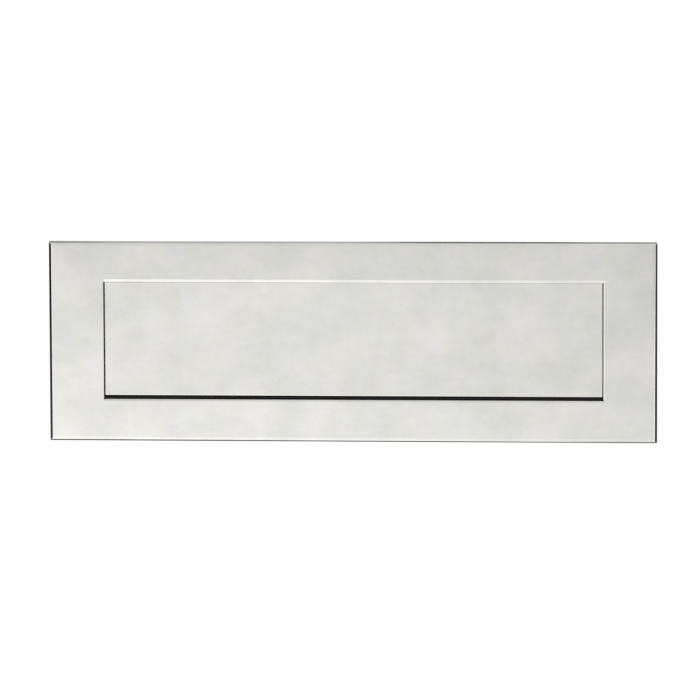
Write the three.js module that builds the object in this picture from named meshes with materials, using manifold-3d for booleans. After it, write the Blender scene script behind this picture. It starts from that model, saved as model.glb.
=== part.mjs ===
// Letter plate: a polished stainless-steel door plate with a sprung flap that opens inwards.
// The plate is a shallow pressed pan. The flap hangs behind its aperture on a rod held by two brackets,
// two torsion springs keep it shut, and two through-door screws pull the plate onto the door.
//
// Millimetres. X runs along the plate, Y from the street into the house, Z up. The origin is the centre
// of the plate on the plane of the door's outer face, so the plate stands in front of Y = 0.
import * as THREE from "three";
import { mergeVertices } from "three/addons/utils/BufferGeometryUtils.js";
import Module from "manifold-3d";

const wasm = await Module();
wasm.setup();

// ---- Driving dimensions ----
const GAP = 0.05; // between pieces that touch
const ROUND_SEGMENTS = 32;
const SIDES = [["left", -1], ["right", 1]];

const PLATE = { length: 304, height: 100, depth: 6, sheet: 1.5, cornerRadius: 1.15, edgeRadius: 1.1 };
const APERTURE = { length: 250, height: 58.6, lift: 0.5, cornerRadius: 0.4, edgeRadius: 0.8 };
const DOOR_THICKNESS = 44;

const PLATE_FRONT = -PLATE.depth;
const PLATE_INNER = PLATE_FRONT + PLATE.sheet;

// The aperture stands half a millimetre above the plate's middle. The flap is a pressed tray: its panel
// fills the aperture and its flange overlaps behind the plate.
const FLAP = {
  sheet: 1.5,
  sideGap: 0.4, // panel to aperture, each side
  topGap: 0.25,
  bottomGap: 1.8,
  recess: 0.5, // how far the panel lies behind the plate's face
  draw: 2, // how far the flange lies behind the panel
  overlap: 4, // flange past the aperture
  edgeRadius: 0.5,
  cornerRadius: 0.3,
};
const PANEL_FRONT = PLATE_FRONT + FLAP.recess;
const FLANGE_FRONT = PANEL_FRONT + FLAP.draw;
const FLANGE_BACK = FLANGE_FRONT + FLAP.sheet;
const PANEL = {
  halfLength: APERTURE.length / 2 - FLAP.sideGap,
  top: APERTURE.lift + APERTURE.height / 2 - FLAP.topGap,
  bottom: APERTURE.lift - APERTURE.height / 2 + FLAP.bottomGap,
};
const FLANGE = {
  halfLength: APERTURE.length / 2 + FLAP.overlap,
  top: APERTURE.lift + APERTURE.height / 2 + FLAP.overlap,
  bottom: APERTURE.lift - APERTURE.height / 2 - FLAP.overlap,
};

// The hinge: a fixed rod above the aperture, which the flap's two ears turn on.
const HINGE = { y: 1.5, z: 36, rodRadius: 2, runningClearance: 0.1 };
const EAR = { thickness: 1.5, radius: 4.2, heelReach: 4.9, foot: 10 };
const BUSH = { radius: 3, flangeRadius: 4, flangeThickness: 1, clearance: 0.1 };
const BRACKET = { sheet: 1.5, x: FLANGE.halfLength + 1.5, outer: 144.5, low: 28, high: 42.5, earRadius: 4.5 };
const ROD = { groove: 0.8, grooveRadius: 1.5, end: 2.2, chamfer: 0.5 };
const CLIP = { thickness: 0.6, innerRadius: 1.6, outerRadius: 3.8, opening: 50 };
const STUD = { radius: 1.45, x: 139, z: [31.2, 39.2], length: 4.2 };
const NUT = { acrossFlats: 5.5, thickness: 1.8, bore: 1.65 };
const STUD_WASHER = { bore: 1.65, radius: 3.4, thickness: 0.5 };
const STOP_PAD = { width: 3, low: 35, high: 40.6, thickness: 1 };
const SPRING = { wire: 1, coilRadius: 2.9, turns: 7, pitch: 1.15, legLift: 24, fixedLeg: 7, movingLeg: 12 };

// Foam: four strips on the flap's flange, from its edge to the panel, and a gasket inside the plate's rim.
const STRIP = { inset: 0.3, panelGap: 0.2 };
const GASKET_WIDTH = 5;

// The through-door fixings.
const POST = { x: 140, radius: 4.5, length: 20, bore: 2.7, boreDepth: 14 };
const SCREW = { radius: 2.4, length: 40, headRadius: 4.75, headHeight: 3.2, slotWidth: 1.2, slotLength: 5.4 };
const SCREW_WASHER = { bore: 2.75, radius: 7.5, thickness: 1.2 };

// ---- Materials ----
const metal = (color, roughness) => new THREE.MeshStandardMaterial({ color, roughness, metalness: 1 });
const soft = (color, roughness) => new THREE.MeshStandardMaterial({ color, roughness, metalness: 0 });
const POLISHED = metal(0xdcdcd8, 0.12);
const MILL_STEEL = metal(0xb4b4b0, 0.35);
const ZINC_PLATED = metal(0xc4c6c6, 0.3);
const SPRING_STEEL = metal(0x8e8f92, 0.3);
const BLACK_FOAM = soft(0x1c1c1d, 0.95);
const BLACK_RUBBER = soft(0x161616, 0.8);
const NYLON = soft(0xe6e2d6, 0.5);

// ---- Solids ----
function solid(geometry) {
  const bare = geometry.index ? geometry.toNonIndexed() : geometry.clone();
  bare.deleteAttribute("normal");
  bare.deleteAttribute("uv");
  const merged = mergeVertices(bare, 1e-4);
  return new wasm.Manifold(
    new wasm.Mesh({
      numProp: 3,
      vertProperties: merged.attributes.position.array,
      triVerts: new Uint32Array(merged.index.array),
    }),
  );
}

function geometryOf(shape) {
  const mesh = shape.getMesh();
  const geometry = new THREE.BufferGeometry();
  geometry.setAttribute("position", new THREE.BufferAttribute(mesh.vertProperties, 3));
  geometry.setIndex(new THREE.BufferAttribute(mesh.triVerts, 1));
  geometry.computeVertexNormals();
  return geometry;
}

const join = (...shapes) => shapes.reduce((whole, shape) => whole.add(shape));
const cut = (body, ...tools) => tools.reduce((rest, tool) => rest.subtract(tool), body);

// ---- Shapes ----
function roundedRectangle(left, bottom, right, top, radius) {
  const shape = new THREE.Shape();
  shape.moveTo(left + radius, bottom);
  shape.absarc(right - radius, bottom + radius, radius, -Math.PI / 2, 0, false);
  shape.absarc(right - radius, top - radius, radius, 0, Math.PI / 2, false);
  shape.absarc(left + radius, top - radius, radius, Math.PI / 2, Math.PI, false);
  shape.absarc(left + radius, bottom + radius, radius, Math.PI, Math.PI * 1.5, false);
  return shape;
}

function circle(radius) {
  const shape = new THREE.Shape();
  shape.absarc(0, 0, radius, 0, Math.PI * 2, false);
  return shape;
}

// A shape drawn in X and Z, extruded from one Y to another. The edge radius rounds both ends.
function extrudeY(shape, front, back, edgeRadius = 0) {
  const geometry = new THREE.ExtrudeGeometry(shape, {
    depth: back - front - 2 * edgeRadius,
    bevelEnabled: edgeRadius > 0,
    bevelThickness: edgeRadius,
    bevelSize: edgeRadius,
    bevelOffset: -edgeRadius,
    bevelSegments: 4,
    curveSegments: 4,
  });
  return geometry.rotateX(Math.PI / 2).translate(0, back - edgeRadius, 0);
}

// A shape drawn in Y and Z, extruded from one X to another.
function extrudeX(shape, from, to, curveSegments = 12) {
  const geometry = new THREE.ExtrudeGeometry(shape, { depth: to - from, bevelEnabled: false, curveSegments });
  const axes = new THREE.Matrix4().makeBasis(
    new THREE.Vector3(0, 1, 0),
    new THREE.Vector3(0, 0, 1),
    new THREE.Vector3(1, 0, 0),
  );
  return geometry.applyMatrix4(axes).translate(from, 0, 0);
}

function box(from, to) {
  const size = to.map((value, axis) => value - from[axis]);
  const centre = to.map((value, axis) => (value + from[axis]) / 2);
  return new THREE.BoxGeometry(...size).translate(...centre);
}

// A turned piece on the Y axis; the profile is a list of [radius, y] with Y rising along its outside.
const turned = (profile, segments = ROUND_SEGMENTS) =>
  new THREE.LatheGeometry(profile.map(([radius, y]) => new THREE.Vector2(radius, y)), segments);

const ring = (bore, radius, from, to) =>
  turned([[bore, from], [radius, from], [radius, to], [bore, to], [bore, from]]);

// The same on the X axis, centred on the hinge line.
const onHingeLine = (geometry) => geometry.rotateZ(-Math.PI / 2).translate(0, HINGE.y, HINGE.z);

// The span from one distance to another out from the centre, on the left (-1) or the right (1).
const span = (side, near, far) => (side > 0 ? [near, far] : [-far, -near]);

// ---- Plate ----
function frontPlate() {
  const halfLength = PLATE.length / 2;
  const halfHeight = PLATE.height / 2;
  const outline = roundedRectangle(-halfLength, -halfHeight, halfLength, halfHeight, PLATE.cornerRadius);
  const block = solid(extrudeY(outline, PLATE_FRONT, PLATE.edgeRadius + 1, PLATE.edgeRadius));
  const past = [halfLength + 1, 5, halfHeight + 1];
  const behindDoorFace = solid(box([-past[0], 0, -past[2]], past));
  const hollow = solid(
    extrudeY(
      roundedRectangle(
        -halfLength + PLATE.sheet,
        -halfHeight + PLATE.sheet,
        halfLength - PLATE.sheet,
        halfHeight - PLATE.sheet,
        0.3,
      ),
      PLATE_INNER,
      5,
    ),
  );
  const hole = solid(extrudeY(apertureOutline(0), PLATE_FRONT - 1, PLATE_INNER + 1));
  return cut(block, behindDoorFace, hollow, hole, ...apertureEasing());
}

function apertureOutline(grow) {
  const x = APERTURE.length / 2 + grow;
  const z = APERTURE.height / 2 + grow;
  return roundedRectangle(-x, APERTURE.lift - z, x, APERTURE.lift + z, APERTURE.cornerRadius + grow);
}

// The rounding of the aperture's front edge, as a few steps of a quarter circle.
function apertureEasing() {
  const steps = 3;
  return Array.from({ length: steps }, (_, step) => {
    const angle = ((step + 1) / (steps + 1)) * (Math.PI / 2);
    const grow = APERTURE.edgeRadius * (1 - Math.cos(angle));
    const depth = APERTURE.edgeRadius * (1 - Math.sin(angle));
    return solid(extrudeY(apertureOutline(grow), PLATE_FRONT - 1, PLATE_FRONT + depth));
  });
}

function weatherGasket() {
  const outerX = PLATE.length / 2 - PLATE.sheet - 2 * GAP;
  const outerZ = PLATE.height / 2 - PLATE.sheet - 2 * GAP;
  const outline = roundedRectangle(-outerX, -outerZ, outerX, outerZ, 0.3);
  const innerX = outerX - GASKET_WIDTH;
  const innerZ = outerZ - GASKET_WIDTH;
  outline.holes.push(roundedRectangle(-innerX, -innerZ, innerX, innerZ, 0.5));
  return extrudeY(outline, PLATE_INNER + GAP, 0);
}

// ---- Through-door fixings, each on its own Y axis ----
function fixingPost() {
  const end = POST.length;
  const floor = end - POST.boreDepth;
  return turned([
    [0, 0],
    [POST.radius, 0],
    [POST.radius, end - 0.5],
    [POST.radius - 0.5, end],
    [POST.bore + 0.4, end],
    [POST.bore, end - 0.4],
    [POST.bore, floor],
    [0, floor - 1.5],
  ]);
}

function fixingScrew() {
  const body = solid(
    turned([
      [0, -SCREW.length],
      [SCREW.radius - 0.8, -SCREW.length],
      [SCREW.radius, -SCREW.length + 0.8],
      [SCREW.radius, 0],
      [SCREW.headRadius - 0.3, 0],
      [SCREW.headRadius, 0.6],
      [SCREW.headRadius * 0.93, 1.8],
      [SCREW.headRadius * 0.7, 2.8],
      [0, SCREW.headHeight],
    ]),
  );
  const half = SCREW.slotWidth / 2;
  const reach = SCREW.slotLength / 2;
  const depth = SCREW.headHeight - 1.8;
  const slot = solid(box([-reach, depth, -half], [reach, SCREW.headHeight + 1, half]));
  const crossSlot = solid(box([-half, depth, -reach], [half, SCREW.headHeight + 1, reach]));
  return geometryOf(cut(body, slot, crossSlot));
}

// ---- Hinge ----
function bracket(side) {
  const [baseFrom, baseTo] = span(side, BRACKET.x, BRACKET.outer);
  const front = PLATE_INNER + GAP;
  const back = front + BRACKET.sheet;
  const base = solid(
    extrudeY(roundedRectangle(baseFrom, BRACKET.low, baseTo, BRACKET.high, 0.8), front, back),
  );
  const profile = new THREE.Shape();
  profile.moveTo(front, BRACKET.low + 0.8);
  profile.absarc(HINGE.y, HINGE.z, BRACKET.earRadius, -Math.PI * 0.4, Math.PI * 0.4, false);
  profile.lineTo(front, BRACKET.high - 0.8);
  const ear = solid(extrudeX(profile, ...span(side, BRACKET.x, BRACKET.x + BRACKET.sheet)));
  const bore = HINGE.rodRadius + HINGE.runningClearance;
  const rodHole = solid(hingeCylinder(bore, side, BRACKET.x - 1, BRACKET.x + BRACKET.sheet + 1));
  const studHoles = STUD.z.map((z) =>
    solid(extrudeY(circle(STUD.radius + 0.25), front - 1, back + 1).translate(side * STUD.x, 0, z)),
  );
  return geometryOf(cut(join(base, ear), rodHole, ...studHoles));
}

function hingeCylinder(radius, side, near, far) {
  const [from, to] = span(side, near, far);
  return onHingeLine(turned([[0, from], [radius, from], [radius, to], [0, to]]));
}

function pivotRod() {
  const clipStart = BRACKET.x + BRACKET.sheet + 0.2;
  const end = clipStart + ROD.groove + ROD.end;
  const half = [
    [HINGE.rodRadius, clipStart],
    [ROD.grooveRadius, clipStart],
    [ROD.grooveRadius, clipStart + ROD.groove],
    [HINGE.rodRadius, clipStart + ROD.groove],
    [HINGE.rodRadius, end - ROD.chamfer],
    [HINGE.rodRadius - ROD.chamfer, end],
    [0, end],
  ];
  const mirrored = half.map(([radius, x]) => [radius, -x]).reverse();
  return onHingeLine(turned([...mirrored, ...half]));
}

function rodClip(side) {
  const start = BRACKET.x + BRACKET.sheet + 0.2 + (ROD.groove - CLIP.thickness) / 2;
  const opening = THREE.MathUtils.degToRad(CLIP.opening);
  const shape = new THREE.Shape();
  shape.absarc(0, 0, CLIP.outerRadius, opening / 2, Math.PI * 2 - opening / 2, false);
  shape.absarc(0, 0, CLIP.innerRadius, Math.PI * 2 - opening / 2, opening / 2, true);
  return extrudeX(shape, ...span(side, start, start + CLIP.thickness)).translate(0, HINGE.y, HINGE.z);
}

// The wire's centreline: a fixed leg that bears on the plate, the coil, and a leg that bears on the flap.
class SpringWire extends THREE.Curve {
  constructor(side) {
    super();
    this.side = side;
    this.start = Math.PI + THREE.MathUtils.degToRad(SPRING.legLift);
    this.sweep = SPRING.turns * Math.PI * 2 - THREE.MathUtils.degToRad(SPRING.legLift);
    this.coilLength = this.sweep * SPRING.coilRadius;
    this.outer = FLANGE.halfLength - EAR.thickness - SPRING.wire;
  }

  getPoint(t, target = new THREE.Vector3()) {
    const travelled = t * (SPRING.fixedLeg + this.coilLength + SPRING.movingLeg) - SPRING.fixedLeg;
    const along = THREE.MathUtils.clamp(travelled, 0, this.coilLength);
    const angle = this.start + along / SPRING.coilRadius;
    const straight = travelled - along;
    const x = this.side * (this.outer - (along / this.coilLength) * SPRING.turns * SPRING.pitch);
    return target.set(
      x,
      HINGE.y + SPRING.coilRadius * Math.cos(angle) - straight * Math.sin(angle),
      HINGE.z + SPRING.coilRadius * Math.sin(angle) + straight * Math.cos(angle),
    );
  }
}

function torsionSpring(side) {
  const section = circle(SPRING.wire / 2);
  return new THREE.ExtrudeGeometry(section, {
    extrudePath: new SpringWire(side),
    steps: 96,
    curveSegments: 4,
    bevelEnabled: false,
  });
}

function stud() {
  const profile = [
    [0, 0],
    [STUD.radius, 0],
    [STUD.radius, STUD.length - 0.3],
    [STUD.radius - 0.3, STUD.length],
    [0, STUD.length],
  ];
  return turned(profile, 16);
}

function nut() {
  const hexagon = new THREE.Shape();
  const corner = NUT.acrossFlats / Math.sqrt(3);
  for (let k = 0; k < 6; k++) {
    const angle = (k * Math.PI) / 3;
    const point = [corner * Math.cos(angle), corner * Math.sin(angle)];
    if (k) hexagon.lineTo(...point);
    else hexagon.moveTo(...point);
  }
  hexagon.holes.push(circle(NUT.bore));
  return extrudeY(hexagon, 0, NUT.thickness);
}

// ---- Flap ----
function flapTray() {
  const panelOutline = (inset, radius) =>
    roundedRectangle(
      -PANEL.halfLength + inset,
      PANEL.bottom + inset,
      PANEL.halfLength - inset,
      PANEL.top - inset,
      radius,
    );
  const block = solid(
    extrudeY(panelOutline(0, FLAP.cornerRadius + 0.3), PANEL_FRONT, FLANGE_BACK + 2, FLAP.edgeRadius),
  );
  const flange = solid(
    extrudeY(
      roundedRectangle(-FLANGE.halfLength, FLANGE.bottom, FLANGE.halfLength, FLANGE.top, 1),
      FLANGE_FRONT,
      FLANGE_BACK,
    ),
  );
  const behind = solid(
    box([-FLANGE.halfLength, FLANGE_BACK, FLANGE.bottom], [FLANGE.halfLength, FLANGE_BACK + 5, FLANGE.top]),
  );
  const hollow = solid(extrudeY(panelOutline(FLAP.sheet, 0.5), PANEL_FRONT + FLAP.sheet, FLANGE_BACK + 1));
  return cut(join(cut(block, behind), flange), hollow);
}

function ear(side) {
  const profile = new THREE.Shape();
  profile.moveTo(FLANGE_FRONT, EAR.foot);
  profile.lineTo(FLANGE_BACK, EAR.foot);
  profile.lineTo(HINGE.y + EAR.radius, HINGE.z - 6);
  profile.lineTo(HINGE.y + EAR.radius, HINGE.z + EAR.heelReach - 0.6);
  profile.lineTo(HINGE.y + EAR.radius - 0.6, HINGE.z + EAR.heelReach);
  profile.lineTo(HINGE.y, HINGE.z + EAR.heelReach);
  profile.absarc(HINGE.y, HINGE.z, EAR.radius, Math.PI * 0.64, Math.PI, false);
  profile.lineTo(FLANGE_FRONT, FLANGE.top);
  return solid(extrudeX(profile, ...span(side, FLANGE.halfLength - EAR.thickness, FLANGE.halfLength)));
}

function flap() {
  const bushHoles = SIDES.map(([, side]) =>
    solid(hingeCylinder(BUSH.radius + BUSH.clearance, side, FLANGE.halfLength - 3, FLANGE.halfLength + 1)),
  );
  return geometryOf(cut(join(flapTray(), ...SIDES.map(([, side]) => ear(side))), ...bushHoles));
}

function bush(side) {
  const bore = HINGE.rodRadius + HINGE.runningClearance;
  const near = FLANGE.halfLength - EAR.thickness - 0.2;
  const face = FLANGE.halfLength + GAP;
  const far = face + BUSH.flangeThickness;
  const profile = [
    [bore, near],
    [BUSH.radius, near],
    [BUSH.radius, face],
    [BUSH.flangeRadius, face],
    [BUSH.flangeRadius, far],
    [bore, far],
    [bore, near],
  ];
  const placed = side > 0 ? profile : profile.map(([radius, x]) => [radius, -x]).reverse();
  return onHingeLine(turned(placed));
}

// A foam strip on the front of the flap's flange.
function strip(fromX, fromZ, toX, toZ) {
  return box([fromX, PLATE_INNER + 2 * GAP, fromZ], [toX, FLANGE_FRONT - GAP, toZ]);
}

// ---- Assembly ----
const letterPlate = new THREE.Group();

function add(parent, name, geometry, material, position = [0, 0, 0]) {
  const mesh = new THREE.Mesh(geometry, material);
  mesh.name = name;
  mesh.position.set(...position);
  parent.add(mesh);
}

const fixed = new THREE.Group();
letterPlate.add(fixed);
add(fixed, "front_plate", geometryOf(frontPlate()), POLISHED);
add(fixed, "weather_gasket", weatherGasket(), BLACK_FOAM);
add(fixed, "pivot_rod", pivotRod(), MILL_STEEL);

const washerBack = DOOR_THICKNESS + SCREW_WASHER.thickness;
const bracketBack = PLATE_INNER + GAP + BRACKET.sheet;
for (const [name, side] of SIDES) {
  const x = side * POST.x;
  add(fixed, `fixing_post_${name}`, fixingPost(), MILL_STEEL, [x, PLATE_INNER + GAP, 0]);
  const washer = ring(SCREW_WASHER.bore, SCREW_WASHER.radius, 0, SCREW_WASHER.thickness);
  add(fixed, `screw_washer_${name}`, washer, ZINC_PLATED, [x, DOOR_THICKNESS, 0]);
  add(fixed, `fixing_screw_${name}`, fixingScrew(), ZINC_PLATED, [x, washerBack + GAP, 0]);

  add(fixed, `hinge_bracket_${name}`, bracket(side), MILL_STEEL);
  for (const [level, z] of [["lower", STUD.z[0]], ["upper", STUD.z[1]]]) {
    const at = (y) => [side * STUD.x, y, z];
    const label = `${name}_${level}`;
    add(fixed, `bracket_stud_${label}`, stud(), MILL_STEEL, at(PLATE_INNER + GAP));
    const studWasher = ring(STUD_WASHER.bore, STUD_WASHER.radius, 0, STUD_WASHER.thickness);
    add(fixed, `bracket_washer_${label}`, studWasher, ZINC_PLATED, at(bracketBack + GAP));
    add(fixed, `bracket_nut_${label}`, nut(), ZINC_PLATED, at(bracketBack + STUD_WASHER.thickness + 2 * GAP));
  }

  add(fixed, `rod_clip_${name}`, rodClip(side), SPRING_STEEL);
  add(fixed, `torsion_spring_${name}`, torsionSpring(side), SPRING_STEEL);
  const padFar = BRACKET.x - 0.2;
  const [padFrom, padTo] = span(side, padFar - STOP_PAD.width, padFar);
  const padBack = PLATE_INNER + STOP_PAD.thickness;
  const pad = box([padFrom, PLATE_INNER + GAP, STOP_PAD.low], [padTo, padBack, STOP_PAD.high]);
  add(fixed, `stop_pad_${name}`, pad, BLACK_RUBBER);
}

const swinging = new THREE.Group();
letterPlate.add(swinging);
add(swinging, "flap", flap(), POLISHED);
const sealX = FLANGE.halfLength - STRIP.inset;
const sealTop = PANEL.top + STRIP.panelGap;
const sealBottom = PANEL.bottom - STRIP.panelGap;
const topSeal = strip(-sealX, sealTop, sealX, FLANGE.top - STRIP.inset);
const bottomSeal = strip(-sealX, FLANGE.bottom + STRIP.inset, sealX, sealBottom);
add(swinging, "flap_seal_top", topSeal, BLACK_FOAM);
add(swinging, "flap_seal_bottom", bottomSeal, BLACK_FOAM);
for (const [name, side] of SIDES) {
  const [from, to] = span(side, PANEL.halfLength + STRIP.panelGap, sealX);
  add(swinging, `flap_seal_${name}`, strip(from, sealBottom + GAP, to, sealTop - GAP), BLACK_FOAM);
  add(swinging, `flap_bush_${name}`, bush(side), NYLON);
}

export default letterPlate;
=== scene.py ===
"""Looks of the letter plate: polished pan and flap, hinge, springs, foam and fixings, in a white studio."""
import math

import bmesh
import bpy
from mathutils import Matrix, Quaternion, Vector


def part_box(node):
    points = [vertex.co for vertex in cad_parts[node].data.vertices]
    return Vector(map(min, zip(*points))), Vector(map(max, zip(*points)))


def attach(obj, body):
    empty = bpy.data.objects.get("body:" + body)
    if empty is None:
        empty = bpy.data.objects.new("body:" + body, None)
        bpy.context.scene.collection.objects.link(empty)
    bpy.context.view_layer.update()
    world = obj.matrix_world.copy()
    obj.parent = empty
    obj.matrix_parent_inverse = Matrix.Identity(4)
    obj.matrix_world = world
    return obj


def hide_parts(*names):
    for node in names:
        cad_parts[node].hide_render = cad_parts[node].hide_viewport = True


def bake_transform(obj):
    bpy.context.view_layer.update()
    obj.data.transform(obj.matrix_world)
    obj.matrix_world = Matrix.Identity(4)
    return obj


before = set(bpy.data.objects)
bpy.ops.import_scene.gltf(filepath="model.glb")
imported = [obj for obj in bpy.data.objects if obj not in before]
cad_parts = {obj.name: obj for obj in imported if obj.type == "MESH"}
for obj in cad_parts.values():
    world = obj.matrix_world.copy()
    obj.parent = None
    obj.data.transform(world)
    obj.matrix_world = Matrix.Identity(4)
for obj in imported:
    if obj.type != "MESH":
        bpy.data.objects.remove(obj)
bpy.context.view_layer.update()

MM = 0.001
SIDES = (("left", -1), ("right", 1))
CLOSE = 1e-7  # points nearer than this are one point


# ---- Sizes, read from the frame and worked out from a few driving dimensions ----

def span(node, axis):
    """Where a CAD node starts and ends along X (0), Y (1) or Z (2)."""
    low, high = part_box(node)
    return low[axis], high[axis]


PLATE_X = span("front_plate", 0)[1]
PLATE_Z = span("front_plate", 2)[1]
FRONT = span("front_plate", 1)[0]
SHEET = 1.5 * MM
INNER = FRONT + SHEET
APERTURE_X = 124.95 * MM  # half its length
APERTURE_TOP, APERTURE_BOTTOM = 29.74 * MM, -28.71 * MM
APERTURE_Z = (APERTURE_TOP - APERTURE_BOTTOM) / 2
APERTURE_SHIFT, APERTURE_LIFT = 0.43 * MM, (APERTURE_TOP + APERTURE_BOTTOM) / 2  # its middle along X and Z
PANEL_FRONT = FRONT + 0.5 * MM

FLANGE_X = span("flap", 0)[1]
FLANGE_LIFT = 0.5 * MM
FLANGE_Z = FLANGE_LIFT - span("flap", 2)[0]
FLANGE_TOP = FLANGE_LIFT + FLANGE_Z
FLANGE_FRONT = FRONT + 2.5 * MM
FLANGE_BACK = FLANGE_FRONT + SHEET
HINGE = Vector((0, 1.5 * MM, 36 * MM))
ROD_RADIUS = (span("pivot_rod", 2)[1] - span("pivot_rod", 2)[0]) / 2


# ---- Mesh building ----

def smooth(value, low, high):
    """0 up to the low end, 1 from the high end, and an even turn between them."""
    share = min(1.0, max(0.0, (value - low) / (high - low)))
    return share * share * (3 - 2 * share)


def ring(half_x, half_z, radius, y, shift_x=0.0, shift_z=0.0, arc_steps=8):
    """Points round a rounded rectangle at depth y."""
    radius = max(radius, 0.04 * MM)
    points = []
    for side_x, side_z, start in ((1, -1, -90), (1, 1, 0), (-1, 1, 90), (-1, -1, 180)):
        centre_x = shift_x + side_x * (half_x - radius)
        centre_z = shift_z + side_z * (half_z - radius)
        for step in range(arc_steps + 1):
            angle = math.radians(start + 90 * step / arc_steps)
            x, z = centre_x + radius * math.cos(angle), centre_z + radius * math.sin(angle)
            points.append(Vector((x, y, z)))
    return points


def quarter(radius, steps=6):
    """A quarter round as (inset, rise) pairs, from the side wall to the face."""
    angles = [math.radians(90 * step / steps) for step in range(steps + 1)]
    return [(radius * (1 - math.cos(a)), radius * (1 - math.sin(a))) for a in angles]


def eased(points, radius, steps=3, closed=False):
    """A 2-D outline with its corners rounded."""
    count = len(points)
    result = []
    for index, point in enumerate(points):
        corner = Vector(point)
        if not closed and index in (0, count - 1):
            result.append(corner)
            continue
        before = Vector(points[index - 1]) - corner
        after = Vector(points[(index + 1) % count]) - corner
        reach = min(radius, before.length * 0.45, after.length * 0.45)
        start = corner + before.normalized() * reach
        end = corner + after.normalized() * reach
        for step in range(steps + 1):
            t = step / steps
            result.append(start * (1 - t) ** 2 + corner * 2 * t * (1 - t) + end * t ** 2)
    return result


def skin(rings, closed=False, capped=True, materials=None):
    """A mesh over rings with equal counts of points. Materials gives each band's material index."""
    bm = bmesh.new()
    rows = [[bm.verts.new(point) for point in points] for points in rings]
    pairs = list(zip(rows, rows[1:] + rows[:1] if closed else rows[1:]))
    for band, (first, second) in enumerate(pairs):
        count = len(first)
        for k in range(count):
            face = bm.faces.new((first[k], first[(k + 1) % count], second[(k + 1) % count], second[k]))
            face.material_index = materials[band] if materials else 0
    if capped and not closed:
        bm.faces.new(reversed(rows[0]))
        bm.faces.new(rows[-1])
    return tidy(bm)


def tidy(bm):
    bmesh.ops.remove_doubles(bm, verts=bm.verts, dist=CLOSE)
    bmesh.ops.dissolve_degenerate(bm, edges=bm.edges, dist=CLOSE)
    bmesh.ops.recalc_face_normals(bm, faces=bm.faces)
    return bm


def polar(stations, axis="Y", centre=(0, 0, 0), segments=48, closed=False):
    """A round body on an axis. A station is (radius, place along the axis), or a function of the angle."""
    centre = Vector(centre)
    rings = []
    for station in stations:
        points = []
        for k in range(segments):
            angle = 2 * math.pi * k / segments
            radius, along = station(angle) if callable(station) else station
            across = (radius * math.cos(angle), radius * math.sin(angle))
            if axis == "Y":
                offset = Vector((across[0], along, across[1]))
            else:
                offset = Vector((along, across[0], across[1]))
            points.append(centre + offset)
        rings.append(points)
    return skin(rings, closed=closed, capped=False)


def prism(outline, axis, low, high):
    """An outline extruded along X (drawn in Y, Z) or Z (drawn in X, Y)."""
    if axis == "X":
        return skin([[Vector((x, *point)) for point in outline] for x in (low, high)])
    return skin([[Vector((*point, z)) for point in outline] for z in (low, high)])


def arc(centre, radius, start, end, steps):
    """Points on an arc, with its angles in degrees."""
    angles = [math.radians(start + (end - start) * k / steps) for k in range(steps + 1)]
    return [(centre[0] + radius * math.cos(a), centre[1] + radius * math.sin(a)) for a in angles]


def tube(path, radius, sides=14):
    """A round wire along a path, with eased ends."""
    count = len(path)
    tangents = [(path[min(k + 1, count - 1)] - path[max(k - 1, 0)]).normalized() for k in range(count)]
    across = tangents[0].orthogonal().normalized()
    rings = []
    for k, (point, tangent) in enumerate(zip(path, tangents)):
        across = (across - tangent * across.dot(tangent)).normalized()
        other = tangent.cross(across)
        scales = [(0.0, 1.0)]
        if k == 0:
            scales = [(-0.25, 0.6), (-0.12, 0.88), (0.0, 1.0)]
        elif k == count - 1:
            scales = [(0.0, 1.0), (0.12, 0.88), (0.25, 0.6)]
        for shift, scale in scales:
            middle = point + tangent * shift * radius
            angles = [2 * math.pi * side / sides for side in range(sides)]
            rings.append(
                [middle + (across * math.cos(a) + other * math.sin(a)) * radius * scale for a in angles]
            )
    return skin(rings)


def loose(name, bm):
    """An object holding a mesh."""
    mesh = bpy.data.meshes.new(name)
    bm.to_mesh(mesh)
    bm.free()
    obj = bpy.data.objects.new(name, mesh)
    bpy.context.scene.collection.objects.link(obj)
    return obj


def combine(obj, bm, operation, finish=None):
    """Cut a mesh from an object, join it or keep what they share."""
    tool = loose("tool", bm)
    if finish:
        tool.data.materials.append(finish)
    modifier = obj.modifiers.new("combine", "BOOLEAN")
    modifier.operation = operation
    modifier.object = tool
    modifier.solver = "EXACT"
    shaped = obj.evaluated_get(bpy.context.evaluated_depsgraph_get())
    mesh = bpy.data.meshes.new_from_object(shaped)
    obj.modifiers.clear()
    obj.data = mesh
    bpy.data.objects.remove(tool)


def finished(obj, body, node, finishes, slot, bevel=0.0, sharp=35):
    """Shade an object, give it its materials and let it stand for a CAD node."""
    mesh = obj.data
    if not mesh.materials:
        for finish in finishes:
            mesh.materials.append(finish)
    mesh.shade_smooth()
    mesh.set_sharp_from_angle(angle=math.radians(sharp))
    if bevel:
        rounding = obj.modifiers.new("rounding", "BEVEL")
        rounding.limit_method = "ANGLE"
        rounding.angle_limit = math.radians(sharp)
        rounding.width = bevel
        rounding.segments = 3
        rounding.harden_normals = True
    else:
        even = obj.modifiers.new("even", "WEIGHTED_NORMAL")
        even.keep_sharp = True
    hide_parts(node)
    if body:
        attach(obj, body)
    return obj


def piece(name, bm, *args, **options):
    return finished(loose(name, bm), *args, **options)


# ---- Materials ----

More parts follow.
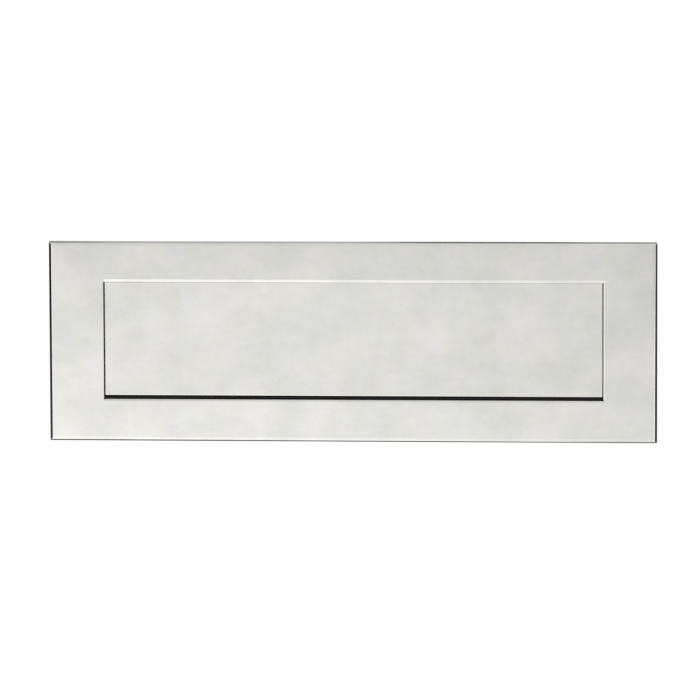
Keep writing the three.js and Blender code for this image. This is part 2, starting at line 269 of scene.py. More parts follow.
class Finish:
    """A procedural material: one Principled shader, with textures in the object's own coordinates."""

    def __init__(self, name, color, metallic, roughness, **sockets):
        self.material = bpy.data.materials.new(name)
        self.material.use_nodes = True
        tree = self.material.node_tree
        self.nodes, self.links = tree.nodes, tree.links
        self.shader = self.nodes["Principled BSDF"]
        self.shader.inputs["Base Color"].default_value = (*color, 1)
        self.shader.inputs["Metallic"].default_value = metallic
        self.shader.inputs["Roughness"].default_value = roughness
        for socket, value in sockets.items():
            self.shader.inputs[socket.replace("_", " ")].default_value = value
        self.place = self.nodes.new("ShaderNodeTexCoord").outputs["Object"]
        self.relief = None

    def stretched(self, scale):
        mapping = self.nodes.new("ShaderNodeMapping")
        mapping.inputs["Scale"].default_value = scale
        self.links.new(self.place, mapping.inputs["Vector"])
        return mapping.outputs["Vector"]

    def noise(self, scale, detail=3.0, rough=0.5, distortion=0.0):
        """Noise with so many features a metre along X, Y and Z."""
        node = self.nodes.new("ShaderNodeTexNoise")
        self.links.new(self.stretched(scale), node.inputs["Vector"])
        node.inputs["Scale"].default_value = 1.0
        node.inputs["Detail"].default_value = detail
        node.inputs["Roughness"].default_value = rough
        node.inputs["Distortion"].default_value = distortion
        return node.outputs["Fac"]

    def cells(self, scale):
        node = self.nodes.new("ShaderNodeTexVoronoi")
        self.links.new(self.stretched(scale), node.inputs["Vector"])
        node.inputs["Scale"].default_value = 1.0
        return node.outputs["Distance"]

    def between(self, value, low, high, from_low=0.3, from_high=0.7):
        """A texture's value brought into a range."""
        node = self.nodes.new("ShaderNodeMapRange")
        self.links.new(value, node.inputs["Value"])
        ends = {"From Min": from_low, "From Max": from_high, "To Min": low, "To Max": high}
        for socket, number in ends.items():
            node.inputs[socket].default_value = number
        return node.outputs["Result"]

    def mix(self, mode, share, first, second):
        """Two colours mixed. The share and either colour may be a socket."""
        node = self.nodes.new("ShaderNodeMix")
        node.data_type = "RGBA"
        node.blend_type = mode
        if isinstance(share, bpy.types.NodeSocket):
            self.links.new(share, node.inputs["Factor"])
        else:
            node.inputs["Factor"].default_value = share
        for key, color in (("A", first), ("B", second)):
            socket = next(s for s in node.inputs if s.name == key and s.type == "RGBA")
            if isinstance(color, bpy.types.NodeSocket):
                self.links.new(color, socket)
            else:
                socket.default_value = (*color, 1)
        return next(s for s in node.outputs if s.type == "RGBA")

    def blend(self, share, first, second, under=None):
        """Two colours mixed, and laid as a tint over another if it is given."""
        color = self.mix("MIX", share, first, second)
        return self.mix("MULTIPLY", 1.0, color, under) if under else color

    def near(self, points, radius):
        """1 at any of the points (x, z), falling to 0 at the radius."""
        total = None
        flat = self.stretched((1, 0, 1))
        for x, z in points:
            distance = self.nodes.new("ShaderNodeVectorMath")
            distance.operation = "DISTANCE"
            self.links.new(flat, distance.inputs[0])
            distance.inputs[1].default_value = (x, 0, z)
            share = self.between(distance.outputs["Value"], 1, 0, 0, radius)
            if total is None:
                total = share
                continue
            larger = self.nodes.new("ShaderNodeMath")
            larger.operation = "MAXIMUM"
            self.links.new(total, larger.inputs[0])
            self.links.new(share, larger.inputs[1])
            total = larger.outputs["Value"]
        return total

    def color(self, socket):
        self.links.new(socket, self.shader.inputs["Base Color"])

    def roughness(self, socket):
        self.links.new(socket, self.shader.inputs["Roughness"])

    def bump(self, height, distance):
        """Relief of a height in metres. Calls add up."""
        node = self.nodes.new("ShaderNodeBump")
        node.inputs["Strength"].default_value = 1.0
        node.inputs["Distance"].default_value = distance
        self.links.new(height, node.inputs["Height"])
        if self.relief:
            self.links.new(self.relief, node.inputs["Normal"])
        self.relief = node.outputs["Normal"]
        self.links.new(self.relief, self.shader.inputs["Normal"])


def polished_steel():
    """Mirror-polished stainless sheet: clouded by wiping, faintly yellow in places, with fine hairlines."""
    steel = Finish("polished_steel", (0.93, 0.925, 0.885), 1.0, 0.07)
    clouds = steel.between(steel.noise((37, 37, 46), 6.0, 0.66), 0, 1, 0.25, 0.75)
    tone = steel.blend(clouds, (0.825,) * 3, (1.0,) * 3)
    for scale, first, second in (
        ((38, 38, 46), (0.98, 1.0, 1.0), (1.0, 0.967, 1.0)),
        ((54, 54, 46), (1.0, 1.0, 0.98), (1.0, 1.0, 0.9)),
    ):
        tint = steel.between(steel.noise(scale, 5.0, 0.7, 0.4), 0, 1, 0.25, 0.75)
        tone = steel.blend(tint, first, second, tone)
    steel.color(tone)
    steel.roughness(steel.between(steel.noise((30, 30, 500), 3.0), 0.055, 0.09))
    steel.bump(steel.noise((16, 16, 22), 1.0), 0.02 * MM)
    steel.bump(steel.noise((120, 120, 6000), 2.0), 0.0004 * MM)
    return steel.material


def mill_steel(name, color, roughness, grain, relief=0.004 * MM, tinted=()):
    """Sheet, bar or wire as it comes from the mill, with a grain, and with heat tint at any welds."""
    steel = Finish(name, color, 1.0, roughness)
    light = tuple(c * 1.12 for c in color)
    dark = tuple(c * 0.86 for c in color)
    tone = steel.blend(steel.between(steel.noise((35, 35, 35), 5.0, 0.6), 0, 1), dark, light)
    if tinted:
        heat = steel.near(tinted, 9 * MM)
        straw = steel.blend(steel.between(heat, 0, 1, 0.15, 0.5), tone, (0.52, 0.4, 0.24))
        tone = steel.blend(steel.between(heat, 0, 1, 0.5, 0.75), straw, (0.2, 0.24, 0.36))
    steel.color(tone)
    lines = steel.noise(grain, 3.0, 0.65)
    steel.roughness(steel.between(lines, roughness * 0.8, roughness * 1.25))
    steel.bump(lines, relief)
    return steel.material


def zinc_plate():
    """Bright zinc plating with a faint passivation tint."""
    zinc = Finish("zinc_plate", (0.66, 0.69, 0.72), 1.0, 0.26)
    tint = zinc.between(zinc.noise((250, 250, 250), 3.0), 0, 1)
    zinc.color(zinc.blend(tint, (0.62, 0.66, 0.71), (0.74, 0.74, 0.7)))
    zinc.roughness(zinc.between(zinc.noise((900, 900, 900), 4.0), 0.2, 0.36))
    zinc.bump(zinc.noise((2500, 2500, 2500), 2.0), 0.0015 * MM)
    return zinc.material


def foam():
    """Black closed-cell foam: small pores in a matte skin, with painted shade in the pore hollows."""
    skin_of_foam = Finish("foam", (0.012, 0.012, 0.012), 0.0, 0.9, Specular_IOR_Level=0.25)
    pores = skin_of_foam.cells((1700, 1700, 1700))
    # The pores are painted darker where the relief sinks them: painted shade in the pore hollows, not a
    # colour of the foam.
    tone = skin_of_foam.between(pores, 0, 1, 0.1, 0.6)
    skin_of_foam.color(skin_of_foam.blend(tone, (0.004, 0.004, 0.004), (0.024, 0.023, 0.022)))
    skin_of_foam.roughness(skin_of_foam.between(skin_of_foam.noise((300, 300, 300), 3.0), 0.8, 0.98))
    skin_of_foam.bump(pores, 0.22 * MM)
    skin_of_foam.bump(skin_of_foam.noise((180, 180, 180), 3.0), 0.2 * MM)
    return skin_of_foam.material


def rubber():
    """Moulded black rubber."""
    skin_of_mould = Finish("rubber", (0.022, 0.022, 0.023), 0.0, 0.6)
    speckle = skin_of_mould.noise((1800, 1800, 1800), 4.0)
    skin_of_mould.color(skin_of_mould.blend(skin_of_mould.between(speckle, 0, 1), (0.016,) * 3, (0.034,) * 3))
    skin_of_mould.roughness(skin_of_mould.between(speckle, 0.5, 0.75))
    skin_of_mould.bump(speckle, 0.02 * MM)
    return skin_of_mould.material


def nylon():
    """Natural nylon: cream, with a faint mould texture."""
    plastic = Finish("nylon", (0.78, 0.74, 0.62), 0.0, 0.42)
    tone = plastic.between(plastic.noise((400, 400, 400), 3.0), 0, 1)
    plastic.color(plastic.blend(tone, (0.74, 0.7, 0.58), (0.82, 0.78, 0.67)))
    plastic.roughness(plastic.between(tone, 0.36, 0.5, 0, 1))
    plastic.bump(plastic.noise((3000, 3000, 3000), 2.0), 0.006 * MM)
    return plastic.material


POST_X = 140 * MM
STUD_X = 139 * MM
STUD_Z = (31.2 * MM, 39.2 * MM)
WELDS = [(side * POST_X, 0.0) for _, side in SIDES] + [(s * STUD_X, z) for _, s in SIDES for z in STUD_Z]

POLISHED = polished_steel()
SHEET_BACK = mill_steel("sheet_back", (0.54, 0.54, 0.53), 0.32, (25, 25, 1800), tinted=WELDS)
BAR = mill_steel("turned_bar", (0.6, 0.6, 0.585), 0.22, (2600, 80, 80), 0.0008 * MM)
PRESSED = mill_steel("pressed_sheet", (0.55, 0.55, 0.535), 0.3, (1500, 60, 60), 0.001 * MM)
SPRING_WIRE = mill_steel("spring_wire", (0.3, 0.3, 0.305), 0.28, (900, 900, 900), 0.002 * MM)
ZINC = zinc_plate()
FOAM = foam()
RUBBER = rubber()
NYLON = nylon()


# ---- Plate ----

# The aperture's lip on each side, in the order of a ring's points: its radius and how far it turns in.
# The top edge is drawn in over a wide arc and ends sharp, the bottom is a plain quarter round.
LIPS = ((1.1 * MM, 90), (2.2 * MM, 22), (2.2 * MM, 44), (0.5 * MM, 16))
ARC_STEPS = 8


def aperture(share, back=None, grow=0.0):
    """A ring round the aperture: from its wall (0) to the plate's face (1), or at a depth further back."""
    turns = [(radius, math.radians(turn)) for radius, turn in LIPS]
    depths = [radius * (1 - math.cos(turn * (1 - share))) for radius, turn in turns]
    low, right, high, left = (
        radius * (math.sin(turn) - math.sin(turn * (1 - share))) + grow for radius, turn in turns
    )
    points = ring(
        APERTURE_X + (left + right) / 2, APERTURE_Z + (low + high) / 2, 0.4 * MM, FRONT,
        APERTURE_SHIFT + (right - left) / 2, APERTURE_LIFT + (high - low) / 2, ARC_STEPS,
    )
    for index, point in enumerate(points):
        corner, step = divmod(index, ARC_STEPS + 1)
        first, second = depths[corner], depths[(corner + 1) % 4]
        point.y = FRONT + first + (second - first) * step / ARC_STEPS if back is None else back
    return points


def front_plate():
    edge, small, fillet, corner = 2.1 * MM, 0.2 * MM, 0.8 * MM, 0.4 * MM

    def outer(inset, y):
        return ring(PLATE_X - inset, PLATE_Z - inset, corner - inset, y)

    wall = [
        aperture(0, INNER, small), aperture(0, INNER - 0.06 * MM, 0.06 * MM),
        aperture(0, INNER - small), aperture(0, FRONT + 1.2 * MM),
    ]
    steps = 8
    front = [aperture(step / steps) for step in range(steps + 1)]
    rounded_edge = [outer(inset, FRONT + rise) for inset, rise in reversed(quarter(edge, 10))]
    rim = [outer(inset, y) for inset, y in (
        (0, -small), (0.06 * MM, -0.06 * MM), (small, 0),
        (SHEET - small, 0), (SHEET - 0.06 * MM, -0.06 * MM), (SHEET, -small),
    )]
    inside = [outer(SHEET + inset, INNER + rise) for inset, rise in quarter(fillet, 5)]
    rings = wall + front + rounded_edge + rim + inside
    polished_bands = len(wall) + len(front) + len(rounded_edge)
    bands = [0 if band < polished_bands else 1 for band in range(len(rings))]
    bm = skin(rings, closed=True, materials=bands)
    return piece("plate_pan", bm, "plate", "front_plate", (POLISHED, SHEET_BACK), "polished_stainless")


def weather_gasket():
    low_y, high_y = span("weather_gasket", 1)
    out_x, out_z = span("weather_gasket", 0)[1], span("weather_gasket", 2)[1]
    width, soft = 5 * MM, 0.5 * MM
    section = [(0, low_y), (width, low_y), (width, high_y), (0, high_y)]
    outline = eased(section, soft, 4, closed=True)
    rings = [ring(out_x - inset, out_z - inset, 0.5 * MM, y) for inset, y in outline]
    bm = skin(rings, closed=True)
    return piece("gasket_foam", bm, "plate", "weather_gasket", (FOAM,), "black_foam")


# ---- Flap ----

PANEL_SHIFT = APERTURE_SHIFT + 0.03 * MM  # the flap's side play
PANEL_X = APERTURE_X - 0.41 * MM
PANEL_TOP = APERTURE_TOP - 0.02 * MM
PANEL_BOTTOM = APERTURE_BOTTOM + 1.7 * MM
PANEL_DISH = 0.09 * MM  # how far the pressing draws the panel's middle in


def dish(bm, middle, half, strips=16):
    """Cut the panel's front into level strips and draw its middle in."""
    def front_faces():
        return [f for f in bm.faces if all(abs(v.co.y - PANEL_FRONT) < CLOSE for v in f.verts)]

    for strip in range(1, strips):
        level = (0, 0, middle + half * (2 * strip / strips - 1))
        faces = front_faces()
        parts = set(faces) | {e for f in faces for e in f.edges} | {v for f in faces for v in f.verts}
        bmesh.ops.bisect_plane(bm, geom=list(parts), dist=CLOSE, plane_co=level, plane_no=(0, 0, 1))
    for vertex in {v for f in front_faces() for v in f.verts}:
        vertex.co.y += PANEL_DISH * (1 - ((vertex.co.z - middle) / half) ** 2)


def flap():
    edge, small, fillet = 0.55 * MM, 0.2 * MM, 0.5 * MM
    top_share = 0.05  # the panel's top edge is sharper than the others
    middle_z = (PANEL_TOP + PANEL_BOTTOM) / 2
    half_z = (PANEL_TOP - PANEL_BOTTOM) / 2

    def panel(inset, y, top=1.0):
        drop = inset * (1 - top) / 2
        return ring(PANEL_X - inset, half_z - inset + drop, 0.5 * MM - inset, y, PANEL_SHIFT, middle_z + drop)

    def flange(inset, y):
        return ring(FLANGE_X - inset, FLANGE_Z - inset, 1.0 * MM - inset, y, 0, FLANGE_LIFT)

    rings = [panel(inset, PANEL_FRONT + rise, top_share) for inset, rise in reversed(quarter(edge))]
    rings += [panel(-grow, FLANGE_FRONT - fall) for grow, fall in quarter(fillet, 4)]
    rings += [flange(inset, FLANGE_FRONT + rise) for inset, rise in reversed(quarter(small, 3))]
    rings += [flange(inset, FLANGE_BACK - rise) for inset, rise in quarter(small, 3)]
    front_bands = len(rings) - 1
    rings += [panel(SHEET - inset, FLANGE_BACK - rise) for inset, rise in reversed(quarter(small, 3))]
    rings += [panel(SHEET + inset, PANEL_FRONT + SHEET + rise) for inset, rise in quarter(fillet, 4)]
    bands = [0 if band < front_bands else 1 for band in range(len(rings) - 1)]
    bm = skin(rings, materials=bands)
    bm.faces.ensure_lookup_table()
    bm.faces[-1].material_index = 1
    dish(bm, middle_z, half_z)
    obj = loose("flap_tray", bm)
    obj.data.materials.append(POLISHED)
    obj.data.materials.append(SHEET_BACK)

    # The ears that carry the flap, seen from the side: a foot on the flange, and a flat heel over the rod.
    foot, ear, turn, ease, bush = 10 * MM, 4.2 * MM, 3 * MM, 0.8 * MM, 3.1 * MM
    back = HINGE.y + ear
    heel = HINGE.z + 4.9 * MM
    profile = [(FLANGE_FRONT, foot), (FLANGE_BACK, foot)]
    profile += arc((back - turn, HINGE.z - 8 * MM), turn, -35, 0, 4)
    profile += arc((back - ease, heel - ease), ease, 0, 90, 5)
    profile += [(HINGE.y, heel)]
    profile += arc((HINGE.y, HINGE.z), ear, 115, 180, 10)
    profile += [(FLANGE_FRONT, FLANGE_TOP)]
    for _, side in SIDES:
        near, far = sorted((side * (FLANGE_X - SHEET), side * FLANGE_X))
        combine(obj, prism(profile, "X", near, far), "UNION", SHEET_BACK)
        bore = [(0, near - MM), (bush, near - MM), (bush, far + MM), (0, far + MM)]
        combine(obj, polar(bore, "X", HINGE), "DIFFERENCE", SHEET_BACK)
    return finished(obj, "flap", "flap", (POLISHED, SHEET_BACK), "polished_stainless", sharp=32)


def flap_seals():
    for edge in ("top", "bottom", "left", "right"):
        node = f"flap_seal_{edge}"
        (low_x, low_y, low_z), (high_x, high_y, high_z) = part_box(node)
        middle_x, middle_z = (low_x + high_x) / 2, (low_z + high_z) / 2
        half_x, half_z = (high_x - low_x) / 2, (high_z - low_z) / 2
        soft = quarter(0.3 * MM, 4)
        rings = [
            ring(half_x - inset, half_z - inset, 0.3 * MM, low_y + rise, middle_x, middle_z)
            for inset, rise in reversed(soft)
        ]
        rings += [ring(half_x, half_z, 0.3 * MM, high_y, middle_x, middle_z)]
        piece(f"{node}_foam", skin(rings), "flap", node, (FOAM,), "black_foam")


# ---- Hinge ----

def pivot_rod():
    _, high = span("pivot_rod", 0)
    clip, groove, deep, chamfer = 132.2 * MM, 0.8 * MM, 1.5 * MM, 0.5 * MM
    half = [
        (ROD_RADIUS, clip - MM), (ROD_RADIUS, clip), (deep, clip), (deep, clip + groove),
        (ROD_RADIUS, clip + groove), (ROD_RADIUS, high - chamfer), (ROD_RADIUS - chamfer, high),
    ]
    half = [tuple(p) for p in eased(half, 0.08 * MM, 2)] + [(0.2 * MM, high), (0, high)]
    stations = [(radius, -along) for radius, along in reversed(half)] + half
    centre = (0, HINGE.y, HINGE.z)
    piece("rod_turned", polar(stations, "X", centre), "plate", "pivot_rod", (BAR,), "mill_steel")


def hinge_bracket(name, side):
    node = f"hinge_bracket_{name}"
    (_, low_y, low_z), (_, high_y, high_z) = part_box(node)
    inner_x, outer_x = sorted(map(abs, span(node, 0)))
    bend, inner_bend = 1.9 * MM, 0.4 * MM
    nose, rod_bore, stud_bore, spare = 4.5 * MM, 2.1 * MM, 1.7 * MM, 0.02 * MM
    base_back = low_y + SHEET
    section = [(outer_x, low_y), (outer_x, base_back)]
    section += arc((inner_x + SHEET + inner_bend, base_back + inner_bend), inner_bend, 270, 180, 4)
    section += [(inner_x + SHEET, high_y + MM), (inner_x, high_y + MM)]
    section += arc((inner_x + bend, low_y + bend), bend, 180, 270, 8)
    section = [(side * x, y) for x, y in section]
    obj = loose(f"bracket_{name}_bent", prism(section, "Z", low_z, high_z))

    outline = [(low_y - MM, low_z), (base_back + spare, low_z)]
    outline += arc((HINGE.y, HINGE.z), nose, -72, 72, 24)
    outline += [(base_back + spare, high_z), (low_y - MM, high_z)]
    near, far = inner_x - MM, inner_x + 3 * MM
    combine(obj, prism(outline, "X", *sorted((side * near, side * (outer_x + MM)))), "INTERSECT")
    hole = [(0, near), (rod_bore, near), (rod_bore, far), (0, far)]
    combine(obj, polar([(r, side * x) for r, x in hole], "X", HINGE), "DIFFERENCE")
    near, far = low_y - MM, base_back + MM
    hole = [(0, near), (stud_bore, near), (stud_bore, far), (0, far)]
    for z in STUD_Z:
        combine(obj, polar(hole, "Y", (side * STUD_X, 0, z), 32), "DIFFERENCE")
    finished(obj, "plate", node, (PRESSED,), "mill_steel", bevel=0.14 * MM)


def thread(radius, pitch, low, high, centre, head=(), segments=32):
    """A screw thread on the Y axis with a chamfered start, and any stations that follow it."""
    depth = 0.6 * pitch
    per_pitch = 6
    steps = round((high - low) / pitch * per_pitch)

    def station(step):
        along = low + (high - low) * step / steps
        fade = min(1.0, (high - along) / (1.5 * pitch))
        lead = min(1.0, 0.55 + 0.45 * (along - low) / pitch)

        def at(angle):
            phase = ((along - low) / pitch - angle / (2 * math.pi)) % 1
            cut = min(1.0, max(0.0, 1.35 - abs(phase - 0.5) * 4))
            return min(radius * lead, radius - depth * cut * fade), along

        return at

    stations = [(0, low), (radius * 0.3, low)] + [station(step) for step in range(steps + 1)] + list(head)
    return polar(stations, "Y", centre, segments)


def hexagon_nut(across, thickness, bore, low, centre):
    """A nut with its corners chamfered on both faces."""
    flat = across / 2 * 0.95
    slope = math.tan(math.radians(30))

    def corner(angle):
        return across / 2 / math.cos((angle + math.pi / 6) % (math.pi / 3) - math.pi / 6)

    def side(height, sign):
        return lambda angle: (corner(angle), height + sign * (corner(angle) - flat) * slope)

    high = low + thickness
    ease = 0.2 * MM
    stations = [
        (bore, low + ease), (bore + ease, low), (flat, low), side(low, 1),
        side(high, -1), (flat, high), (bore + ease, high), (bore, high - ease),
    ]
    return polar(stations, "Y", centre, 48, closed=True)


def washer(node, bore):
    (low_x, low_y, low_z), (high_x, high_y, high_z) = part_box(node)
    radius = (high_x - low_x) / 2
    section = [(bore, low_y), (radius, low_y), (radius, high_y), (bore, high_y)]
    stations = [tuple(p) for p in eased(section, 0.12 * MM, 3, closed=True)]
    return polar(stations, "Y", ((low_x + high_x) / 2, 0, (low_z + high_z) / 2), 64, closed=True)


def bracket_fasteners(name, side):
    """Studs welded to the plate, threaded from their free ends, with their washers and nuts."""
    radius, pitch, across_flats = 1.45 * MM, 0.5 * MM, 5.5 * MM
    for level, z in zip(("lower", "upper"), STUD_Z):
        label = f"{name}_{level}"
        centre = (side * STUD_X, 0, z)
        low, high = span(f"bracket_stud_{label}", 1)
        stud = thread(radius, pitch, -high, -low - 0.6 * MM, (0, 0, 0), [
            (radius, -low - 0.5 * MM), (1.7 * MM, -low - 0.1 * MM), (1.75 * MM, -low), (0, -low),
        ], 24)
        for vertex in stud.verts:
            vertex.co = Vector((vertex.co.x + centre[0], -vertex.co.y, vertex.co.z + centre[2]))
        bmesh.ops.recalc_face_normals(stud, faces=stud.faces)
        piece(f"stud_{label}_thread", stud, "plate", f"bracket_stud_{label}", (BAR,), "mill_steel")
        disc_node = f"bracket_washer_{label}"
        disc = washer(disc_node, 1.65 * MM)
        piece(f"washer_{label}_disc", disc, "plate", disc_node, (ZINC,), "zinc_plated")
        nut_node = f"bracket_nut_{label}"
        low, high = span(nut_node, 1)
        nut = hexagon_nut(across_flats, high - low, radius + 0.1 * MM, low, centre)
        piece(f"nut_{label}_hex", nut, "plate", nut_node, (ZINC,), "zinc_plated")


def rod_clip(name):
    """An E-clip: an open ring with three lobes that grip the rod's groove."""
    node = f"rod_clip_{name}"
    low, high = span(node, 0)
    outside, grip, relief, opening = 3.75 * MM, 1.58 * MM, 2.5 * MM, 28
    lobes = (opening + 12, 180, 348 - opening)

    def inner(degrees):
        lobe = min(abs(degrees - centre) for centre in lobes)
        return grip + (relief - grip) * smooth(lobe, 14, 26)

    steps = 96
    degrees = [opening + (360 - 2 * opening) * k / steps for k in range(steps + 1)]

    def place(radius, angle):
        return HINGE.y - radius * math.sin(angle), HINGE.z + radius * math.cos(angle)

    bm = bmesh.new()
    columns = []
    for turn in degrees:
        pair = (place(outside, math.radians(turn)), place(inner(turn), math.radians(turn)))
        columns.append([bm.verts.new((x, *point)) for x in (low, high) for point in pair])
    for (a, b, c, d), (e, f, g, h) in zip(columns, columns[1:]):
        for corners in ((a, b, f, e), (c, g, h, d), (a, e, g, c), (b, d, h, f)):
            bm.faces.new(corners)
    for a, b, c, d in (columns[0], columns[-1]):
        bm.faces.new((a, b, d, c))
    piece(f"clip_{name}_spring", tidy(bm), "plate", node, (SPRING_WIRE,), "spring_steel", bevel=0.08 * MM)


def torsion_spring(name, side):
    """A close coil round the rod, one leg up against the plate and one down behind the flap."""
    node = f"torsion_spring_{name}"
    wire, radius, turns, pitch = 0.5 * MM, 2.9 * MM, 7, 1.15 * MM
    lift = math.radians(24)
    outer_x = FLANGE_X - SHEET - 2 * wire
    start, sweep = math.pi + lift, turns * 2 * math.pi - lift
    fixed_leg, moving_leg = 6.9 * MM, 12 * MM
    coil = sweep * radius

    def place(travelled):
        along = min(max(travelled, 0), coil)
        angle = start + along / radius
        straight = travelled - along
        return Vector((
            side * (outer_x - along / coil * turns * pitch),
            HINGE.y + radius * math.cos(angle) - straight * math.sin(angle),
            HINGE.z + radius * math.sin(angle) + straight * math.cos(angle),
        ))

    steps_per_mm = 1.6
    total = fixed_leg + coil + moving_leg
    steps = round(total / MM * steps_per_mm)
    path = [place(-fixed_leg + total * k / steps) for k in range(steps + 1)]
    obj = piece(f"spring_{name}_coil", tube(path, wire, 12), None, node, (SPRING_WIRE,), "spring_steel")
    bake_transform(obj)


def stop_pad(name):
    node = f"stop_pad_{name}"
    (low_x, low_y, low_z), (high_x, high_y, high_z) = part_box(node)
    half_x, half_z = (high_x - low_x) / 2, (high_z - low_z) / 2
    middle = ((low_x + high_x) / 2, (low_z + high_z) / 2)
    rings = [ring(half_x, half_z, 0.5 * MM, low_y, *middle)]
    rings += [
        ring(half_x - inset, half_z - inset, 0.5 * MM - inset * 0.5, high_y - rise, *middle)
        for inset, rise in quarter(0.3 * MM, 4)
    ]
    piece(f"pad_{name}_rubber", skin(rings), "plate", node, (RUBBER,), "black_rubber")


def flap_bush(name, side):
    node = f"flap_bush_{name}"
    near, far = sorted(map(abs, span(node, 0)))
    face = FLANGE_X + 0.05 * MM
    bore, body, flange = 2.1 * MM, 3.0 * MM, 4.0 * MM
    section = [(bore, near), (body, near), (body, face), (flange, face), (flange, far), (bore, far)]
    stations = [(r, side * x) for r, x in eased(section, 0.2 * MM, 3, closed=True)]
    bm = polar(stations, "X", HINGE, 56, closed=True)
    piece(f"bush_{name}_nylon", bm, "flap", node, (NYLON,), "nylon")


# ---- Through-door fixings ----

def fixing_post(name, side):
    """A tapped post, with the weld's fillet at its foot."""
    node = f"fixing_post_{name}"
    low, high = span(node, 1)
    radius, bore, floor = 4.5 * MM, 2.7 * MM, high - 14 * MM
    weld = 0.9 * MM
    foot = [(radius + inset, low + rise) for inset, rise in reversed(quarter(weld))]
    mouth = eased([
        (radius, high - 2 * MM), (radius, high - 0.5 * MM), (radius - 0.5 * MM, high),
        (bore + 0.4 * MM, high), (bore, high - 0.4 * MM), (bore, floor),
    ], 0.1 * MM, 2)
    stations = [(0, low)] + foot + [tuple(p) for p in mouth] + [(0, floor - 1.5 * MM)]
    bm = polar(stations, "Y", (side * POST_X, 0, 0), 64)
    piece(f"post_{name}_welded", bm, "plate", node, (BAR,), "mill_steel")


def fixing_screw(name, side):
    node = f"fixing_screw_{name}"
    low, high = span(node, 1)
    radius, pitch, head_low = 2.4 * MM, 0.8 * MM, high - 3.2 * MM
    dome = [  # radius and height in mm over the head's underside
        (4.45, 0), (4.72, 0.25), (4.75, 0.7), (4.6, 1.3), (4.2, 2.0),
        (3.5, 2.6), (2.4, 3.02), (1.2, 3.17), (0, 3.2),
    ]
    head = [(radius, head_low)] + [(r * MM, head_low + h * MM) for r, h in dome]
    bm = thread(radius, pitch, low, head_low - 0.6 * MM, (side * POST_X, 0, 0), head)
    obj = loose(f"screw_{name}_machine", bm)
    half, depth = 0.6 * MM, 1.5 * MM
    reaches = ((high - depth, 2 * MM), (high + MM, 3.1 * MM))  # the cross recess narrows as it goes in
    level = [ring(reach, half, 0.1 * MM, y, side * POST_X) for y, reach in reaches]
    upright = [ring(half, reach, 0.1 * MM, y, side * POST_X) for y, reach in reaches]
    combine(obj, skin(level), "DIFFERENCE")
    combine(obj, skin(upright), "DIFFERENCE")
    finished(obj, "plate", node, (ZINC,), "zinc_plated", sharp=40)


def fixings():
    for name, side in SIDES:
        fixing_post(name, side)
        fixing_screw(name, side)
        node = f"screw_washer_{name}"
        piece(f"washer_{name}_wide", washer(node, 2.75 * MM), "plate", node, (ZINC,), "zinc_plated")


def hinge():
    pivot_rod()
    for name, side in SIDES:
        hinge_bracket(name, side)
        bracket_fasteners(name, side)
        rod_clip(name)
        torsion_spring(name, side)
        stop_pad(name)
        flap_bush(name, side)


# ---- Studio ----

CAMERA_AZIMUTH, CAMERA_ELEVATION, CAMERA_ROLL = math.radians(4.54), math.radians(5.27), math.radians(-0.2)
CAMERA_DISTANCE = 2.4916
LENS = 257.14
AIM = Vector((-0.88 * MM, 0, -3.79 * MM))
TENT_RADIUS = 4.0
CARD_CENTRE = 4  # degrees to the left


def card_light(azimuth, elevation):
    """The card behind the camera, which the faces mirror: brightest low on the left.

    x counts steps of 5 degrees to the right and z steps of 3 degrees up from the middle of what they mirror.
    """
    x = min(8, max(-16, azimuth)) / 5
    z = (min(-1.5, max(-10, elevation)) + 5.4) / 3
    return (0.695 - 0.069 * z + 0.001 * z * z - 0.084 * x + 0.04 * x * z - 0.019 * x * x) / 0.925


def tent_light(azimuth, elevation):
    """Light from a direction, in degrees: 0, 0 is straight in front of the plate."""
    side = abs(azimuth + CARD_CENTRE)
    left = azimuth < 0
    behind = smooth(side, 85, 110)
    raised = smooth(elevation, -5.2, -4.2)  # over the middle of what the plate's ends mirror

    # Four sheets: the wings beside the card, and the ones above and below it.
    card = card_light(azimuth, elevation)
    front_wing = 0.97 if left else 0.93 - 0.33 * raised
    back_wing = 1.0 if left else 0.75
    wing = front_wing * (1 - behind) + back_wing * behind
    level = card + (wing - card) * smooth(side, 13, 26)
    above = 0.7 + 0.08 * behind
    below = min(1.0, max(0.74, 0.89 - 0.021 * (azimuth + 5))) * (1 - behind) + 0.6 * behind
    below += 0.08 * smooth(-elevation, 45, 75)
    light = level + (above - level) * smooth(elevation, 0, 22)
    light += (below - level) * smooth(-elevation, 8, 85)
    light *= 1 - 0.45 * smooth(side, 22, 46) * (1 - behind) * smooth(abs(elevation + 5), 4, 14)

    # The gap round the sides at the plate's height, which draws the dark lines down the plate's ends.
    start = 44 if left else 62 + 20 * raised
    level_gap = smooth(side, start - 3, start + 3) * (1 - smooth(side, 148, 158))
    level_gap *= smooth(elevation, -13, -10) * (1 - smooth(elevation, 0, 3))

    # The gap up the back, which draws the lines along the top and the bottom. It is thinner in places.
    across = math.sin(math.radians(azimuth)) * math.cos(math.radians(elevation))
    low = smooth(elevation, 0, 3) * (1 - smooth(elevation, 10, 14))
    end = 86 if elevation > 0 else 92
    high = smooth(abs(elevation), 30, 38) * (1 - smooth(abs(elevation), end - 16, end))
    strip = smooth(abs(azimuth), 90, 100) * (1 - smooth(abs(across + 0.08), 0.12, 0.16))
    back_gap = strip * max(low, high)
    if elevation > 0:
        thin_left = smooth(-across, 0.052, 0.08) * (1 - 0.65 * smooth(-across, 0.155, 0.172))
        thin_right = smooth(across, -0.012, 0.006)
        back_gap *= 0.98 - 0.48 * thin_left - 0.3 * thin_right

    gap = max(level_gap, back_gap)
    dark = 0.01 + 0.1 * (1 - raised) * smooth(side, 82, 88) * (1 - smooth(side, 94, 100))
    return light + (dark - light) * gap


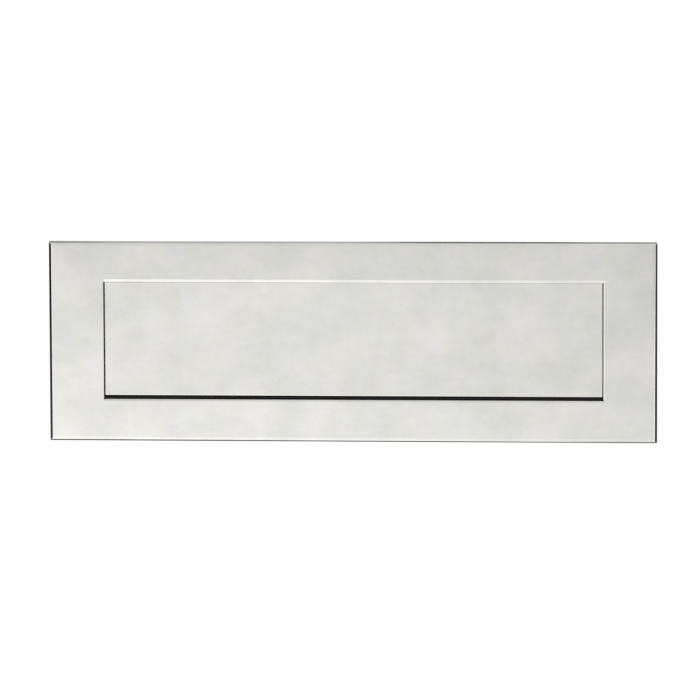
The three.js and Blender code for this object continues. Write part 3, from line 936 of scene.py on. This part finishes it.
def light_tent():
    """A closed tent round the object, seen only in reflections and as soft light."""
    bm = bmesh.new()
    layer = bm.verts.layers.float_color.new("light")
    rows = []
    for elevation in range(-90, 91):
        row = []
        for azimuth in range(-180, 180):
            a, e = math.radians(azimuth), math.radians(elevation)
            towards = Vector((math.sin(a) * math.cos(e), -math.cos(a) * math.cos(e), math.sin(e)))
            vertex = bm.verts.new(towards * TENT_RADIUS)
            light = tent_light(azimuth, elevation)
            warmth = 0.016 * smooth(-azimuth, 0, 12) * smooth(-elevation, 4, 7) - 0.003  # low on the left
            vertex[layer] = (light * (1 + warmth), light, light, 1)
            row.append(vertex)
        rows.append(row)
    for low, high in zip(rows, rows[1:]):
        for k in range(len(low)):
            following = (k + 1) % len(low)
            bm.faces.new((low[k], high[k], high[following], low[following]))
    tent = loose("light_tent", bm)
    tent.data.materials.append(glowing("tent_light", attribute="light"))
    tent.visible_camera = False
    tent.visible_shadow = False


def glowing(name, strength=1.0, attribute=None):
    material = bpy.data.materials.new(name)
    material.use_nodes = True
    nodes, links = material.node_tree.nodes, material.node_tree.links
    nodes.remove(nodes["Principled BSDF"])
    emission = nodes.new("ShaderNodeEmission")
    emission.inputs["Strength"].default_value = strength
    if attribute:
        source = nodes.new("ShaderNodeAttribute")
        source.attribute_name = attribute
        links.new(source.outputs["Color"], emission.inputs["Color"])
    links.new(emission.outputs["Emission"], nodes["Material Output"].inputs["Surface"])
    return material


def stage():
    """A white floor, wall and ceiling, which only the camera sees."""
    reach, floor_z, top = 12.0, -3.0, 8.0
    circle = [(reach * math.cos(a), reach * math.sin(a)) for a in (2 * math.pi * k / 64 for k in range(64))]
    white = glowing("white_paper", 1.02)
    floor, ceiling = bmesh.new(), bmesh.new()
    for disc, z in ((floor, floor_z), (ceiling, top)):
        disc.faces.new([disc.verts.new((x, y, z)) for x, y in circle])
    wall = skin([[Vector((x, y, z)) for x, y in circle] for z in (floor_z, top)], capped=False)
    for name, bm in (("studio_floor", floor), ("studio_wall", wall), ("studio_ceiling", ceiling)):
        obj = loose(name, bm)
        obj.data.materials.append(white)
        obj.visible_glossy = False
        obj.visible_diffuse = False
        obj.visible_shadow = False


def camera():
    data = bpy.data.cameras.new("camera")
    data.lens = LENS
    data.clip_start = 0.01
    data.clip_end = 100
    obj = bpy.data.objects.new("camera", data)
    bpy.context.scene.collection.objects.link(obj)
    away = Vector((
        math.sin(CAMERA_AZIMUTH) * math.cos(CAMERA_ELEVATION),
        -math.cos(CAMERA_AZIMUTH) * math.cos(CAMERA_ELEVATION),
        math.sin(CAMERA_ELEVATION),
    ))
    centre = Vector((0, FRONT, 0))
    obj.location = centre + away * CAMERA_DISTANCE
    look = (centre + AIM - obj.location).to_track_quat("-Z", "Y")
    obj.rotation_euler = (look @ Quaternion((0, 0, 1), CAMERA_ROLL)).to_euler()
    bpy.context.scene.camera = obj


camera()
front_plate()
weather_gasket()
flap()
flap_seals()
hinge()
fixings()
light_tent()
stage()
world = bpy.data.worlds.new("world")
bpy.context.scene.world = world
bpy.context.scene.view_settings.view_transform = "Standard"
